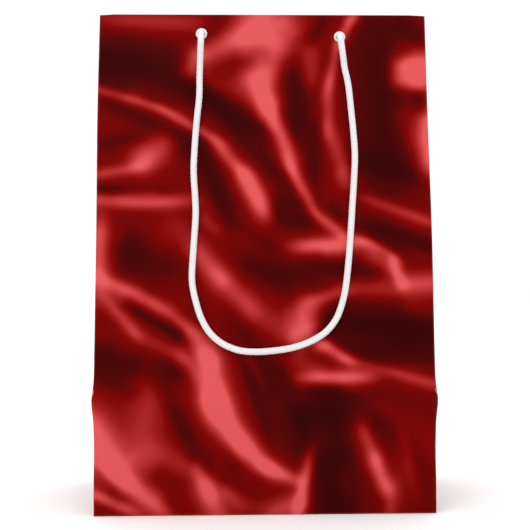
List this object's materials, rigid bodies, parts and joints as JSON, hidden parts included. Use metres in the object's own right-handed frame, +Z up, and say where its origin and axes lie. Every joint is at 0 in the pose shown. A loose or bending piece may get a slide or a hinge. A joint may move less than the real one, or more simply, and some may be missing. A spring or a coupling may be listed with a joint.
{
  "type": "gift bag",
  "caption": "Standing paper gift bag with a square base, inward folding side gussets, a turned top edge with eyelets and knotted rope handles.",
  "frame": {"origin": "middle of the bottom, on the surface that the bag stands on", "axes": "+Z up, +X to the right of the front face, the front faces -Y"},
  "size_m": [0.2, 0.1004, 0.2993],
  "materials": {
    "printed_paper": "laminated satin print outside, white inside",
    "plain_paper": "uncoated white",
    "hem_card": "matte card",
    "base_board": "matte board",
    "eyelet": "white satin enamel",
    "handle_cord": "braided white polyester"
  },
  "bodies": {
    "base": {"lower_front_wall": "printed_paper", "lower_back_wall": "printed_paper", "lower_left_wall": "printed_paper", "lower_right_wall": "printed_paper", "lower_seam_flap": "plain_paper", "bottom_front_flap": "printed_paper", "bottom_back_flap": "printed_paper", "bottom_left_flap": "printed_paper", "bottom_right_flap": "printed_paper"},
    "front_panel": {"front_panel": "printed_paper", "front_hem_card": "hem_card", "front_hem": "printed_paper", "front_left_eyelet": "eyelet", "front_right_eyelet": "eyelet", "front_left_knot": "handle_cord", "front_right_knot": "handle_cord"},
    "back_panel": {"back_panel": "printed_paper", "back_hem_card": "hem_card", "back_hem": "printed_paper", "back_left_eyelet": "eyelet", "back_right_eyelet": "eyelet", "back_left_knot": "handle_cord", "back_right_knot": "handle_cord", "upper_seam_flap": "plain_paper"},
    "right_gusset": {"right_gusset_panel": "printed_paper"},
    "left_gusset": {"left_gusset_panel": "printed_paper"},
    "right_front_corner": {"right_front_gusset_facet": "printed_paper", "right_front_gusset_hem": "printed_paper"},
    "right_back_corner": {"right_back_gusset_facet": "printed_paper", "right_back_gusset_hem": "printed_paper"},
    "left_front_corner": {"left_front_gusset_facet": "printed_paper", "left_front_gusset_hem": "printed_paper"},
    "left_back_corner": {"left_back_gusset_facet": "printed_paper", "left_back_gusset_hem": "printed_paper"},
    "front_handle": {"front_handle_cord": "handle_cord"},
    "back_handle": {"back_handle_cord": "handle_cord"},
    "base_board": {"base_board": "base_board"}
  },
  "joints": [
    {"name": "front_panel_opens", "type": "hinge", "parent": "base", "child": "front_panel", "pos_m": [0, -0.05, 0.066], "axis": [1, 0, 0], "range_deg": [0, 7.81]},
    {"name": "back_panel_opens", "type": "hinge", "parent": "base", "child": "back_panel", "pos_m": [0, 0.05, 0.066], "axis": [-1, 0, 0], "range_deg": [0, 7.86]},
    {"name": "right_gusset_opens", "type": "hinge", "parent": "base", "child": "right_gusset", "pos_m": [0.1, 0, 0.066], "axis": [0, 1, 0], "range_deg": [0, 11.46]},
    {"name": "left_gusset_opens", "type": "hinge", "parent": "base", "child": "left_gusset", "pos_m": [-0.1, 0, 0.066], "axis": [0, -1, 0], "range_deg": [0, 11.46]},
    {"name": "right_front_facet_unfolds", "type": "hinge", "parent": "front_panel", "child": "right_front_corner", "pos_m": [0.1, -0.05, 0.066], "axis": [0, -0.1359, -0.9907], "range_deg": [0, 68.99], "deforming": ["right_front_gusset_facet", "right_front_gusset_hem"]},
    {"name": "right_back_facet_unfolds", "type": "hinge", "parent": "back_panel", "child": "right_back_corner", "pos_m": [0.1, 0.05, 0.066], "axis": [0, -0.1359, 0.9907], "range_deg": [0, 68.99], "deforming": ["right_back_gusset_facet", "right_back_gusset_hem"]},
    {"name": "left_front_facet_unfolds", "type": "hinge", "parent": "front_panel", "child": "left_front_corner", "pos_m": [-0.1, -0.05, 0.066], "axis": [0, 0.1359, 0.9907], "range_deg": [0, 68.99], "deforming": ["left_front_gusset_facet", "left_front_gusset_hem"]},
    {"name": "left_back_facet_unfolds", "type": "hinge", "parent": "back_panel", "child": "left_back_corner", "pos_m": [-0.1, 0.05, 0.066], "axis": [0, 0.1359, -0.9907], "range_deg": [0, 68.99], "deforming": ["left_back_gusset_facet", "left_back_gusset_hem"]},
    {"name": "front_handle_swings", "type": "hinge", "parent": "front_panel", "child": "front_handle", "pos_m": [0.00465, -0.0253, 0.28659], "axis": [-0.9998, 0.0029, 0.0211], "range_deg": [0, 172]},
    {"name": "back_handle_swings", "type": "hinge", "parent": "back_panel", "child": "back_handle", "pos_m": [0.00465, 0.0253, 0.28659], "axis": [0.9998, 0.0029, -0.0211], "range_deg": [0, 172]},
    {"name": "base_board_lifts", "type": "slide", "parent": "base", "child": "base_board", "axis": [0, 0, 1], "range_m": [0, 0.05]}
  ],
  "couplings": [
    {"joint": "back_panel_opens", "follows": "front_panel_opens", "ratio": 1},
    {"joint": "right_gusset_opens", "follows": "front_panel_opens", "ratio": 1.4607},
    {"joint": "left_gusset_opens", "follows": "front_panel_opens", "ratio": 1.4607},
    {"joint": "right_front_facet_unfolds", "follows": "front_panel_opens", "ratio": 8.7951},
    {"joint": "right_back_facet_unfolds", "follows": "front_panel_opens", "ratio": 8.7951},
    {"joint": "left_front_facet_unfolds", "follows": "front_panel_opens", "ratio": 8.7951},
    {"joint": "left_back_facet_unfolds", "follows": "front_panel_opens", "ratio": 8.7951}
  ]
}
